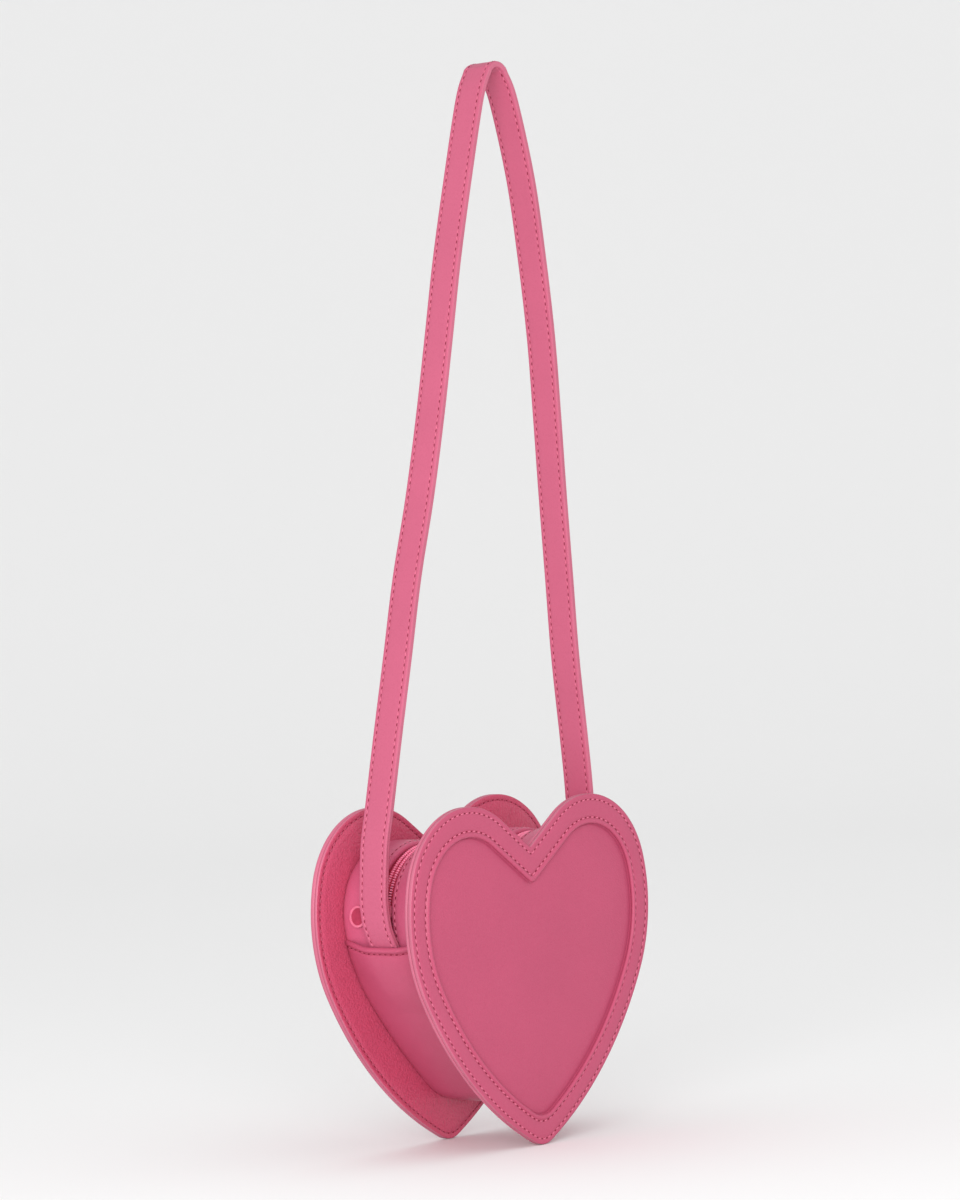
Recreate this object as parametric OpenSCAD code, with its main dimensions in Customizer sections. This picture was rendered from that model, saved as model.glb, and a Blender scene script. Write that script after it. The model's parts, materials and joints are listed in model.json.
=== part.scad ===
// Heart shaped shoulder purse: two heart panels joined by a smaller heart shaped gusset,
// a zip along the top of the gusset, and one long strap sewn in under the gusset's hems.
// Millimetres. X runs across the front, Y from front to back, Z up.
// The origin is the underside of the strap's top, where the purse hangs.

/* [Heart panels] */
// Distance between the centres of the two upper lobes
lobe_spacing = 89; // [84:0.5:96]
// Radius of each upper lobe
lobe_r = 42.2; // [39:0.2:45]
// Radius of the round side under each lobe
side_r = 76; // [70:0.5:84]
// Radius of the long lower edge that runs to the tip
lower_r = 173; // [165:0.5:190]
// Radius of the rounded tip
tip_r = 12; // [8:0.5:14]
// Direction from a lobe's centre to where its straight run into the notch starts
notch_angle = 125; // [121:0.2:128]
// Direction in which a lobe hands over to the round side
side_start_angle = 14.5; // [10:0.5:18]
// Direction in which the round side hands over to the lower edge
lower_start_angle = -28; // [-31:0.5:-24]

/* [Panel layers] */
// Thickness of the grained leather that faces the gusset
facing_t = 1.1; // [0.8:0.1:1.6]
// Thickness of the stiff board inside a panel
board_t = 0.7; // [0.5:0.1:1.2]
// How far the board stays back from the panel's edge
board_setback = 1.5; // [1:0.1:3]
// Thickness of the sunk heart of leather on the front
front_leather_t = 0.9; // [0.7:0.1:1.6]
// Thickness of the raised ring of leather on the front
overlay_t = 1.3; // [0.8:0.1:2]
// Thickness of the outer leather on the back
back_leather_t = 2.2; // [1.4:0.1:3]
// Width of the raised ring at its sides
ring_w = 12.8; // [9:0.2:16]
// How far the ring's opening sits below the middle of the ring's outline
ring_drop = 1.2; // [0:0.1:3]
// Corner radius at the tip of the ring's opening
ring_tip_r = 14; // [10:0.5:18]
// Width of the rolled bead along the ring's inner edge
bead_w = 2.6; // [1.6:0.1:4]
// Height of that bead above the ring
bead_h = 0.8; // [0.4:0.1:1.4]

/* [Gusset] */
// Depth of the gusset between the two panels
gusset_depth = 53; // [44:0.5:62]
// Thickness of the gusset leather
gusset_t = 1.6; // [1.2:0.1:2]
// How far each gusset lobe's centre lies inside the panel lobe's centre
gusset_in = 6; // [5:0.1:8]
// How far each gusset lobe's centre lies below the panel lobe's centre
gusset_down = 6.4; // [5:0.2:8]
// How much smaller a gusset lobe's radius is than the panel's
gusset_lobe_less = 9.2; // [8.2:0.1:10.4]
// How much larger the gusset's side radius is than the panel's
gusset_side_more = 1.5; // [0:0.1:4]
// How much larger the gusset's lower radius is than the panel's
gusset_lower_more = 129.5; // [115:0.5:140]
// Radius of the gusset's rounded tip
gusset_tip_r = 24; // [18:0.5:28]
// Radius of the valley between the gusset's lobes
valley_r = 16; // [14:0.5:19]
// Height of leather that laps over the zip's ends under each hem
hem_lap = 13; // [11:0.5:15]
// Thickness of the hem where it covers a strap end
hem_t = 4.8; // [4.5:0.1:6]

/* [Zip] */
// Half of the gap between the two strips beside the zip
slot_half = 4.2; // [3.9:0.1:5]
// Width of the folded edge of each strip
strip_fold_w = 6.3; // [5:0.1:7.5]
// Width of each tape
tape_w = 11.4; // [10:0.1:13]
// Thickness of each tape
tape_t = 0.6; // [0.4:0.1:0.8]
// Half of the slit between the two rows of coils
slit_half = 0.6; // [0.5:0.05:0.8]
// Width of one row of coils
coil_w = 1.6; // [1.2:0.1:1.8]
// Height of one row of coils above its tape
coil_h = 1.6; // [1.2:0.1:1.8]
// Depth of the grooves between the turns of a coil
coil_groove = 0.5; // [0.3:0.1:0.8]
// Distance from one turn of a coil to the next
coil_pitch = 2.6; // [2.2:0.1:3.4]
// Length of each zip stop
stop_l = 1.8; // [1.2:0.1:2.4]
// How far a zip stop stands above the coils
stop_h = 0.3; // [0.1:0.1:0.5]
// Length of the slider
slider_l = 10; // [8:0.5:11]
// Width of the slider
slider_w = 7.2; // [6.6:0.1:7.4]
// Thickness of the slider's two plates
slider_plate_t = 1.1; // [0.9:0.1:1.2]
// Where the slider is parked, as an angle up from the side of the lobe
park_angle = 6; // [3:0.5:9]

/* [Pull] */
// Distance from the slider's upper post to the hinge pin of the pull
link_l = 11.4; // [9.5:0.1:12]
// Thickness of the link
link_t = 1; // [0.8:0.1:1.1]
// Diameter of the round pull
pull_d = 10; // [9:0.5:11]
// Thickness of the pull's plate
pull_t = 1.2; // [1:0.1:1.3]
// Width of the pull's raised rim
rim_w = 1; // [0.7:0.1:1.6]
// Height of the pull's raised rim
rim_h = 0.4; // [0.2:0.1:0.5]
// How far the parked pull slopes down towards the back
pull_slope = 22; // [15:1:28]

/* [Strap] */
// Width of the strap
strap_w = 16; // [12:0.5:20]
// Thickness of each of the strap's two leather layers
strap_leather_t = 1.2; // [0.9:0.1:1.3]
// Thickness of the filler between them
strap_core_t = 0.6; // [0.4:0.1:0.8]
// Height of the strap's top above the hems
strap_rise = 408.5; // [330:0.5:480]
// How far the strap's top hangs to one side
strap_lean = 31; // [20:0.5:40]
// Radius of the bend at the strap's top
strap_top_r = 7; // [6:0.5:9]

/* [Lining] */
// Thickness of the lining
lining_t = 0.6; // [0.4:0.1:0.8]
// How far the lining stops short of the strips' edges beside the zip
lining_back = 1.8; // [1.2:0.1:3]

/* [Hidden] */

// Steps along each arc of an outline
lobe_steps = 28;
side_steps = 12;
lower_steps = 16;
tip_steps = 8;
valley_steps = 6;
hem_steps = 9;
top_steps = 6;
spline_steps = 2;
round_fn = 48;

// Clearances
seam_gap = 0.05;
slide_gap = 0.35;
pin_gap = 0.1;
strap_gap = 0.15;
fold_gap = 0.3;
// How far cuts run past what they cut
overrun = 150;

// Colours
face_pink = [0.80, 0.37, 0.50];
ring_pink = [0.82, 0.40, 0.53];
grain_pink = [0.78, 0.28, 0.40];
gusset_pink = [0.80, 0.33, 0.45];
strap_pink = [0.86, 0.43, 0.56];
coil_pink = [0.74, 0.20, 0.33];
enamel_pink = [0.85, 0.36, 0.48];
board_tan = [0.70, 0.60, 0.50];
lining_rose = [0.62, 0.20, 0.30];

// Panel outline: the centres of its arcs, on the right half
lobe_x = lobe_spacing / 2;
lobe_c = [lobe_x, 0];
side_c = lobe_c - (side_r - lobe_r) * dir(side_start_angle);
lower_c = side_c - (lower_r - side_r) * dir(lower_start_angle);

// Gusset outline: arcs of its own, set in from the panel's
gusset_c = [lobe_x - gusset_in, -gusset_down];
gusset_r = lobe_r - gusset_lobe_less;
gusset_side_r = side_r + gusset_side_more;
gusset_lower_r = lower_r + gusset_lower_more;
gusset_side_angle = -7;
gusset_lower_angle = -36;
gusset_side_c = gusset_c - (gusset_side_r - gusset_r) * dir(gusset_side_angle);
gusset_lower_c = gusset_side_c - (gusset_lower_r - gusset_side_r) * dir(gusset_lower_angle);
valley_c = [0, gusset_c[1] + sqrt(pow(gusset_r + valley_r, 2) - pow(gusset_c[0], 2))];
valley_angle = atan2(gusset_c[1] - valley_c[1], gusset_c[0]);

// Hems, by their angles on the gusset's round side
hem_angle = -13.5;
hem_full_angle = -23;
tongue_angle = -22.5;
hem_z = gusset_side_c[1] + gusset_side_r * sin(hem_angle);
lap_z = hem_z - hem_lap;
lap_angle = asin((lap_z - gusset_side_c[1]) / gusset_side_r);
// Both sides of the gusset below this height are on its long lower arcs
hem_foot_z = gusset_side_c[1] + (gusset_side_r + seam_gap) * sin(gusset_lower_angle);

// Depths of the layers, counted from the middle of the purse
inner_y = gusset_depth / 2;
facing_y = inner_y + facing_t;
board_y = facing_y + board_t;
front_y = board_y + front_leather_t;
ring_y = front_y + overlay_t;
back_y = board_y + back_leather_t;

// The bead's roundness: how far in and how high each of its steps goes
bead_in_shares = [0.05, 0.3];
bead_up_shares = [0.6, 1];

// The zip's layers, counted inwards from the gusset's outer face
tape_in = 2 * gusset_t;
tape_under = tape_in + tape_t;
coil_in = tape_in - coil_h;
coil_y = slit_half + coil_w;
lining_in = tape_under + seam_gap;
lining_under = lining_in + lining_t;

// The slider's layers, counted outwards from the centre of the lobe that it runs round
slider_under_r = gusset_r - coil_in + slide_gap;
slider_top_r = slider_under_r + slider_plate_t;
flange_r = gusset_r - tape_in + slide_gap;
keel_r = sqrt(pow(gusset_r - tape_under - slide_gap, 2) - pow(slider_l / 2, 2));
slider_shares = [[0.28, 0.5], [0.38, 0.4], [0.5, -0.1], [0.5, -0.36], [0.3, -0.5]];
keel_w = 2 * slit_half - 2 * slide_gap;
keel_l = 3.2;
flange_l = 4.8;
flange_down = 0.6;
under_plate_l = 9;
under_plate_w = 6.6;

// The bridge on the slider: two round posts under a bar
post_r = 0.8;
post_t = 2.5;
link_lift = 0.9;
link_r = slider_top_r + link_lift;
bar_r = link_r + link_t + slide_gap;
bar_t = 1;
bar_w = 1.6;

// The link: an eye round the upper post, a bar and a fork that holds the pin
eye_r = 2.3;
link_w = 2.2;
fork_l = 2.4;
fork_w = 4.4;
fork_bar_l = 0.9;
fork_slot_w = 2.6;
fork_past = 0.9;
pin_r = 0.4;
pin_place = link_r + link_t / 2;

// The pull: a lug on the pin and a round plate with a raised rim
lug_r = 0.9;
lug_w = 2;
pull_back = 1.4;
pull_c = link_l + pull_d / 2 - pull_back;
pull_cut_w = 5.4;

// Zip stops and the ends of the coils
park_z = gusset_c[1] + gusset_r * sin(park_angle) - slider_l / 2;
stop_z = park_z - slide_gap;
tape_end_z = hem_z - hem_lap / 2;

// Strap: its route is given as shares of its height above the hems and of its way inwards
strap_t = 2 * strap_leather_t + strap_core_t;
strap_top_z = hem_z + strap_rise;
fold_z = lobe_r + strap_w / 2;
leg_top_z = fold_z - strap_w / 2 - fold_gap;
strap_out = 2.2;
strap_start_x = gusset_c[0] + gusset_r + strap_out;
tongue_r = gusset_side_r + strap_gap + strap_t / 2;
tongue_top_angle = -14.5;
pocket_angle = -23;
top_from = 153;
top_to = 27;
left_shares = [
    [0.02, -0.021], [0.047, -0.037], [0.071, -0.032], [0.115, -0.011], [0.152, 0.026],
    [0.231, 0.104], [0.319, 0.195], [0.41, 0.287], [0.5, 0.399], [0.591, 0.496],
    [0.682, 0.582], [0.773, 0.666], [0.866, 0.768], [0.96, 0.88]
];
right_shares = [
    [0.02, -0.052], [0.047, -0.091], [0.115, -0.075], [0.164, -0.054], [0.214, -0.012],
    [0.309, 0.073], [0.402, 0.115], [0.498, 0.159], [0.591, 0.192], [0.684, 0.234],
    [0.778, 0.33], [0.871, 0.466], [0.96, 0.7]
];

// A turn of the coil: where its ridge and its groove start and stop
turn_shares = [[0.1, 0], [0.5, 0], [0.6, 1], [1, 1]];

function dir(a) = [cos(a), sin(a)];

function arc(c, r, from, to, n) = [for (i = [0:n]) c + r * dir(from + (to - from) * i / n)];

function tail(pts) = [for (i = [1:len(pts) - 1]) pts[i]];

function turned(pts) = [for (i = [len(pts) - 1:-1:0]) pts[i]];

// A closed outline from its right half, which runs from the top to the bottom of the middle
function both(half) = concat(half, [for (i = [len(half) - 2:-1:1]) [-half[i][0], half[i][1]]]);

// The right half of a panel's outline, set in evenly
function panel_half(inset, tip) =
    let (r = lobe_r - inset,
         low = lower_r - inset,
         tip_c = [0, lower_c[1] - sqrt(pow(low - tip, 2) - pow(lower_c[0], 2))],
         end = atan2(tip_c[1] - lower_c[1], -lower_c[0]))
    concat(
        [[0, (r + lobe_x * cos(notch_angle)) / sin(notch_angle)]],
        arc(lobe_c, r, notch_angle, side_start_angle, lobe_steps),
        tail(arc(side_c, side_r - inset, side_start_angle, lower_start_angle, side_steps)),
        tail(arc(lower_c, low, lower_start_angle, end, lower_steps)),
        tail(arc(tip_c, tip, end, -90, tip_steps)));

// An arc with one groove for each turn of a coil, or a plain arc where there is no groove
function toothed(c, r, groove, from, to) =
    groove == 0 ? tail(arc(c, r, from, to, lobe_steps)) :
    let (n = round((from - to) * PI * r / 180 / coil_pitch),
         step = (to - from) / n)
    [for (i = [0:n - 1], t = turn_shares) c + (r - groove * t[1]) * dir(from + step * (i + t[0]))];

// The right half of the gusset's outline, set in evenly
function gusset_half(inset, groove = 0) =
    let (tip_c = [0, gusset_lower_c[1]
             - sqrt(pow(gusset_lower_r - gusset_tip_r, 2) - pow(gusset_lower_c[0], 2))],
         end = atan2(tip_c[1] - gusset_lower_c[1], -gusset_lower_c[0]),
         side = gusset_side_r - inset,
         low = gusset_lower_r - inset)
    concat(
        arc(valley_c, valley_r + inset, -90, valley_angle, valley_steps),
        toothed(gusset_c, gusset_r - inset, groove, 180 + valley_angle, gusset_side_angle),
        tail(arc(gusset_side_c, side, gusset_side_angle, gusset_lower_angle, side_steps)),
        tail(arc(gusset_lower_c, low, gusset_lower_angle, end, lower_steps)),
        tail(arc(tip_c, gusset_tip_r - inset, end, -90, tip_steps)));

// A smooth line through points
function smooth(p, n) = concat(
    [for (i = [0:len(p) - 2], j = [0:n - 1])
        let (t = j / n,
             a = p[max(i - 1, 0)],
             b = p[i],
             c = p[i + 1],
             d = p[min(i + 2, len(p) - 1)])
        b + t / 2 * (c - a) + t * t * (a - 2.5 * b + 2 * c - d / 2)
            + t * t * t * (1.5 * (b - c) + (d - a) / 2)],
    [p[len(p) - 1]]);

// A line moved sideways, outwards where the amount is positive
function shifted(p, by) = [for (i = [0:len(p) - 1])
    let (d = p[min(i + 1, len(p) - 1)] - p[max(i - 1, 0)])
    p[i] + by / norm(d) * [-d[1], d[0]]];

// The strap's end under a hem, from the given angle up
function tongue(start, side) = [for (i = [0:2])
    let (p = gusset_side_c + tongue_r * dir(start + (tongue_top_angle - start) * i / 2))
    [side * p[0], p[1]]];

function route(shares, side) = [for (s = shares)
    [side * strap_start_x + s[1] * (strap_lean - side * strap_start_x), hem_z + s[0] * strap_rise]];

function strap_line(start) = smooth(concat(
    tongue(start, -1),
    route(left_shares, -1),
    arc([strap_lean, strap_top_z - strap_top_r], strap_top_r, top_from, top_to, top_steps),
    turned(route(right_shares, 1)),
    turned(tongue(start, 1))), spline_steps);

// How far a hem stands out at an angle of the round side
function hem_out(a) = a > hem_full_angle ? hem_t :
    hem_t * (1 + cos(180 * (hem_full_angle - a) / (hem_full_angle - gusset_lower_angle))) / 2;

// The right half of the lower gusset, from the hem's mouth to the tip: its outside and its inside
function lower_outside() =
    let (bottom = gusset_half(0))
    concat(
        [for (i = [0:hem_steps])
            let (a = hem_angle + (gusset_lower_angle - hem_angle) * i / hem_steps)
            gusset_side_c + (gusset_side_r + hem_out(a)) * dir(a)],
        [for (p = bottom) if (p[1] < hem_foot_z) p]);

function lower_inside() =
    let (bottom = gusset_half(gusset_t),
         side = gusset_side_r - gusset_t,
         from = asin((lap_z - gusset_side_c[1]) / side))
    concat(
        arc(gusset_side_c, gusset_side_r + seam_gap, hem_angle, lap_angle, hem_steps),
        arc(gusset_side_c, side, from, gusset_lower_angle, hem_steps),
        [for (p = bottom) if (p[1] < hem_foot_z) p]);

function flipped(pts) = [for (p = pts) [-p[0], p[1]]];

// Places the whole purse so that its strap hangs from the origin
module hung() {
    translate([-strap_lean, 0, strap_t / 2 - strap_top_z])
        children();
}

// Extrudes an outline drawn in X and Z through a span of Y
module slab(from, to) {
    translate([0, to, 0])
        rotate([90, 0, 0])
            linear_extrude(to - from)
                children();
}

// Gives one slab in front of the middle and its mirror image behind it
module pair(from, to) {
    slab(-to, -from)
        children();
    slab(from, to)
        children();
}

module above(z) {
    intersection() {
        children();
        translate([-overrun, z])
            square([2 * overrun, overrun]);
    }
}

module below(z) {
    intersection() {
        children();
        translate([-overrun, z - overrun])
            square([2 * overrun, overrun]);
    }
}

module left_of_middle() {
    intersection() {
        children();
        translate([-overrun, -overrun])
            square([overrun, 2 * overrun]);
    }
}

module right_of_middle() {
    intersection() {
        children();
        translate([0, -overrun])
            square([overrun, 2 * overrun]);
    }
}

// Keeps what lies on the outer side of the middle of a gusset lobe
module outer_side(side) {
    intersection() {
        children();
        translate([side < 0 ? -overrun - gusset_c[0] : gusset_c[0], -overrun])
            square([overrun, 2 * overrun]);
    }
}

module panel(inset, tip) {
    polygon(both(panel_half(inset, tip)));
}

module ring_opening(inset) {
    translate([0, -ring_drop])
        panel(inset, ring_tip_r + ring_w - inset);
}

// A closed band between two insets of the gusset's outline
module band(outer, inner, groove = 0) {
    difference() {
        polygon(both(gusset_half(outer, groove)));
        polygon(both(gusset_half(inner)));
    }
}

module strap_band(start, inner, outer) {
    line = strap_line(start);
    polygon(concat(shifted(line, outer), turned(shifted(line, inner))));
}

module front_leather() {
    color(face_pink)
        slab(-front_y, -board_y)
            panel(0, tip_r);
}

module front_ring_overlay() {
    color(ring_pink) {
        slab(-ring_y, -front_y)
            difference() {
                panel(0, tip_r);
                ring_opening(ring_w);
            }
        for (i = [0:len(bead_up_shares) - 1])
            slab(-ring_y - bead_h * bead_up_shares[i], -front_y - overlay_t / 2)
                difference() {
                    ring_opening(ring_w - bead_w * (1 - bead_in_shares[i]));
                    ring_opening(ring_w - bead_w * bead_in_shares[i]);
                }
    }
}

module front_board() {
    color(board_tan)
        slab(-board_y, -facing_y)
            panel(board_setback, tip_r);
}

module front_facing() {
    color(grain_pink)
        slab(-facing_y, -inner_y)
            panel(0, tip_r);
}

module back_leather() {
    color(face_pink)
        slab(board_y, back_y)
            panel(0, tip_r);
}

module back_board() {
    color(board_tan)
        slab(facing_y, board_y)
            panel(board_setback, tip_r);
}

module back_facing() {
    color(grain_pink)
        slab(inner_y, facing_y)
            panel(0, tip_r);
}

module lower_gusset() {
    color(gusset_pink)
        difference() {
            slab(-inner_y, inner_y)
                polygon(concat(
                    lower_outside(),
                    tail(turned(flipped(lower_outside()))),
                    flipped(lower_inside()),
                    tail(turned(lower_inside()))));
            slab(-strap_w / 2 - strap_gap, strap_w / 2 + strap_gap)
                strap_band(pocket_angle, -strap_t / 2 - strap_gap, strap_t / 2 + strap_gap);
        }
}

module zip_strip(side) {
    color(gusset_pink)
        mirror([0, side < 0 ? 1 : 0, 0]) {
            slab(slot_half, inner_y)
                above(lap_z)
                    band(0, gusset_t);
            slab(slot_half, slot_half + strip_fold_w)
                above(lap_z)
                    band(gusset_t / 2, tape_in);
        }
}

module zip_tape(side) {
    color(coil_pink)
        mirror([0, side < 0 ? 1 : 0, 0])
            slab(slit_half, slit_half + tape_w)
                above(tape_end_z)
                    band(tape_in, tape_under);
}

module zip_coil(side) {
    color(coil_pink)
        mirror([0, side < 0 ? 1 : 0, 0])
            slab(slit_half, coil_y)
                difference() {
                    above(hem_z)
                        band(coil_in, tape_in, coil_groove);
                    outer_side(-1)
                        below(stop_z)
                            square(2 * overrun, center = true);
                    outer_side(1)
                        below(hem_z + stop_l)
                            square(2 * overrun, center = true);
                }
}

module zip_stops() {
    color(enamel_pink) {
        pair(slit_half, coil_y)
            outer_side(-1)
                above(stop_z - stop_l)
                    below(stop_z)
                        band(coil_in - stop_h, tape_in);
        slab(-coil_y, coil_y)
            outer_side(1)
                above(hem_z)
                    below(hem_z + stop_l)
                        band(coil_in - stop_h, tape_in);
    }
}

module lining_front() {
    color(lining_rose)
        slab(-inner_y, lining_t - inner_y)
            polygon(both(gusset_half(lining_under + seam_gap)));
}

module lining_rear() {
    color(lining_rose)
        slab(inner_y - lining_t, inner_y)
            polygon(both(gusset_half(lining_under + seam_gap)));
}

module lining_gusset() {
    color(lining_rose)
        difference() {
            slab(-inner_y, inner_y)
                band(lining_in, lining_under);
            slab(-slot_half - lining_back, slot_half + lining_back)
                above(hem_z)
                    square(2 * overrun, center = true);
        }
}

module strap_leg_left() {
    color(strap_pink)
        slab(-strap_w / 2, strap_w / 2)
            left_of_middle()
                below(leg_top_z)
                    strap_band(tongue_angle, -strap_t / 2, strap_t / 2);
}

module strap_leg_right() {
    color(strap_pink)
        slab(-strap_w / 2, strap_w / 2)
            right_of_middle()
                below(leg_top_z)
                    strap_band(tongue_angle, -strap_t / 2, strap_t / 2);
}

// The long loop above the panels. Its two ends are rounded about the line they fold on.
module strap_layer(inner, outer) {
    color(strap_pink)
        intersection() {
            slab(-strap_w / 2, strap_w / 2)
                strap_band(tongue_angle, inner, outer);
            union() {
                translate([-overrun, -strap_w / 2, fold_z])
                    cube([2 * overrun, strap_w, strap_rise]);
                translate([-overrun, 0, fold_z])
                    rotate([0, 90, 0])
                        cylinder(r = strap_w / 2, h = 2 * overrun, $fn = round_fn);
            }
        }
}

// The slider's own frame: X points in, to the centre of the lobe that it runs round
module on_slider() {
    translate([-gusset_c[0], 0, gusset_c[1]])
        rotate([0, park_angle, 0])
            children();
}

// Extrudes an outline drawn in Y and Z between two distances from the lobe's centre
module plate(from, to) {
    translate([-to, 0, 0])
        rotate([90, 0, 90])
            linear_extrude(to - from)
                children();
}

module zip_slider() {
    right = [for (s = slider_shares) [s[0] * slider_w, s[1] * slider_l]];
    left = [for (s = slider_shares) [-s[0] * slider_w, s[1] * slider_l]];
    rail = slider_w / 2 - coil_y - slide_gap;
    color(enamel_pink)
        on_slider() {
            plate(slider_under_r, slider_top_r)
                polygon(concat(right, turned(left)));
            for (side = [-1, 1])
                plate(flange_r, slider_top_r)
                    translate([side * (slider_w - rail) / 2, -flange_down])
                        square([rail, flange_l], center = true);
            plate(keel_r - slider_plate_t, slider_top_r)
                square([keel_w, keel_l], center = true);
            plate(keel_r - slider_plate_t, keel_r)
                square([under_plate_w, under_plate_l], center = true);
            for (t = [-post_t, post_t])
                plate(slider_under_r, bar_r + bar_t)
                    translate([0, t])
                        circle(r = post_r, $fn = round_fn);
            plate(bar_r, bar_r + bar_t)
                square([bar_w, 2 * post_t], center = true);
        }
}

// The pull's own frame: Y runs from the post to the pin and on to the round plate
module on_link() {
    on_slider()
        translate([0, 0, post_t])
            rotate([-pull_slope, 0, 0])
                children();
}

module pull_link() {
    fork_y = link_l - fork_l;
    arm = (fork_w - fork_slot_w) / 2;
    color(enamel_pink)
        on_link() {
            plate(link_r, link_r + link_t)
                difference() {
                    union() {
                        circle(r = eye_r, $fn = round_fn);
                        translate([0, -link_w / 2])
                            square([fork_y, link_w]);
                        translate([fork_y - fork_bar_l, -fork_w / 2])
                            square([fork_bar_l, fork_w]);
                        for (side = [-1, 1])
                            translate([fork_y - fork_bar_l, side * (fork_w - arm) / 2 - arm / 2])
                                square([fork_l + fork_bar_l + fork_past, arm]);
                    }
                    circle(r = post_r + pin_gap, $fn = round_fn);
                }
            translate([-pin_place, link_l, -fork_w / 2 + arm / 2])
                cylinder(r = pin_r, h = fork_w - arm, $fn = round_fn);
        }
}

module pull_tab() {
    under = pin_place - pull_t / 2;
    color(enamel_pink)
        on_link()
            difference() {
                union() {
                    plate(under, under + pull_t)
                        difference() {
                            translate([pull_c, 0])
                                circle(d = pull_d, $fn = round_fn);
                            translate([0, -pull_cut_w / 2])
                                square([link_l + pull_back, pull_cut_w]);
                        }
                    plate(under, under + pull_t + rim_h)
                        difference() {
                            translate([pull_c, 0])
                                circle(d = pull_d, $fn = round_fn);
                            translate([pull_c, 0])
                                circle(r = pull_d / 2 - rim_w, $fn = round_fn);
                            translate([0, -pull_cut_w / 2])
                                square([link_l + pull_back, pull_cut_w]);
                        }
                    plate(under, under + pull_t)
                        translate([link_l, -lug_w / 2])
                            square([2 * pull_back, lug_w]);
                    translate([-pin_place, link_l, -lug_w / 2])
                        cylinder(r = lug_r, h = lug_w, $fn = round_fn);
                }
                translate([-pin_place, link_l, -fork_w / 2])
                    cylinder(r = pin_r + pin_gap, h = fork_w, $fn = round_fn);
            }
}

hung()
        front_leather();
hung()
        front_ring_overlay();
hung()
        front_board();
hung()
        front_facing();
hung()
        back_leather();
hung()
        back_board();
hung()
        back_facing();
hung()
        lower_gusset();
hung()  // zip_strip_front
        zip_strip(-1);
hung()  // zip_strip_back
        zip_strip(1);
hung()  // zip_tape_front
        zip_tape(-1);
hung()  // zip_tape_back
        zip_tape(1);
hung()  // zip_coil_front
        zip_coil(-1);
hung()  // zip_coil_back
        zip_coil(1);
hung()
        zip_stops();
hung()
        lining_front();
hung()
        lining_rear();
hung()
        lining_gusset();
hung()
        strap_leg_left();
hung()
        strap_leg_right();
hung()  // strap_outer_layer
        strap_layer(strap_core_t / 2, strap_t / 2);
hung()  // strap_core
        strap_layer(-strap_core_t / 2, strap_core_t / 2);
hung()  // strap_inner_layer
        strap_layer(-strap_t / 2, -strap_core_t / 2);
hung()
        zip_slider();
hung()
        pull_link();
hung()
        pull_tab();
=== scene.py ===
import json
import math

import bmesh
import bpy
import numpy as np
from mathutils import Matrix, Vector


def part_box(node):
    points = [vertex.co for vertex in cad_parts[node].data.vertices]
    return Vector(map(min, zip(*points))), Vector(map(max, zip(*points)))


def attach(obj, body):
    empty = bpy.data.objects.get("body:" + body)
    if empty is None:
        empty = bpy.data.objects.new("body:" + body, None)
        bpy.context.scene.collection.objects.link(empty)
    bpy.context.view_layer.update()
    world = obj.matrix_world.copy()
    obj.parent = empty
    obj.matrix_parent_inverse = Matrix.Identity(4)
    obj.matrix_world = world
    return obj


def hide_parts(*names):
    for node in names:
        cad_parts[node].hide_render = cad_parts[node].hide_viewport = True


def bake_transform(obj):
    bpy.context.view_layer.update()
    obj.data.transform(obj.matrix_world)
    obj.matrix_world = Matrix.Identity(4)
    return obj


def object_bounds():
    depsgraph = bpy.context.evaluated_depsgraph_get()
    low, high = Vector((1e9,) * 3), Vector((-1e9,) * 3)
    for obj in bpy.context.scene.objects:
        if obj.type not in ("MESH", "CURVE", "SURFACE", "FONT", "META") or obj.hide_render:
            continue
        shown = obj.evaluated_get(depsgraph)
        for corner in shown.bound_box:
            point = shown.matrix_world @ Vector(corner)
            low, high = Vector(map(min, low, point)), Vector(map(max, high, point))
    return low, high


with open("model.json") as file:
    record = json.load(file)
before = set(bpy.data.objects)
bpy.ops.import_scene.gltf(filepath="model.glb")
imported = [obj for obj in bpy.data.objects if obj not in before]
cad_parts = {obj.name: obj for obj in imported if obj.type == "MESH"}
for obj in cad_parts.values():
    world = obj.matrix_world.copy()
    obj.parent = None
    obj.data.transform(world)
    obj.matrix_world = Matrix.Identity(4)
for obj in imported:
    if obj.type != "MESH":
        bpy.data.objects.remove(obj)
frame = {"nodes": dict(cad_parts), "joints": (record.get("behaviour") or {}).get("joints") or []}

bl_info = {
    "name": "Heart Shaped Purse",
    "version": (1, 0, 0),
    "blender": (4, 5, 0),
    "location": "View3D > Sidebar > Heart Purse",
    "description": "Leather, stitches, zip and strap of a heart shaped shoulder purse",
    "category": "Object",
}

CAD_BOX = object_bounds()
MM = 0.001

# Heart panel outline, as the solids have it (mm and degrees)
LOBE_X, LOBE_R, SIDE_R, LOWER_R = 44.5, 42.2, 76.0, 173.0
NOTCH_ANGLE, SIDE_START, LOWER_START = 125.0, 14.5, -28.0
TIP_R, RING_W, RING_TIP_R, RING_DROP = 12.0, 12.8, 14.0, 1.2
NOTCH_R, RING_NOTCH_R = 1.5, 3.0
# Gusset outline
GUSSET_DEPTH, GUSSET_T = 53.0, 1.6
GUSSET_IN, GUSSET_DOWN, GUSSET_LESS = 6.0, 6.4, 9.2
GUSSET_SIDE_MORE, GUSSET_LOWER_MORE = 1.5, 129.5
GUSSET_TIP_R, VALLEY_R = 24.0, 16.0
GUSSET_SIDE_ANGLE, GUSSET_LOWER_ANGLE = -7.0, -36.0
HEM_ANGLE, HEM_FULL_ANGLE, HEM_LAP = -13.5, -23.0, 13.0
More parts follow.
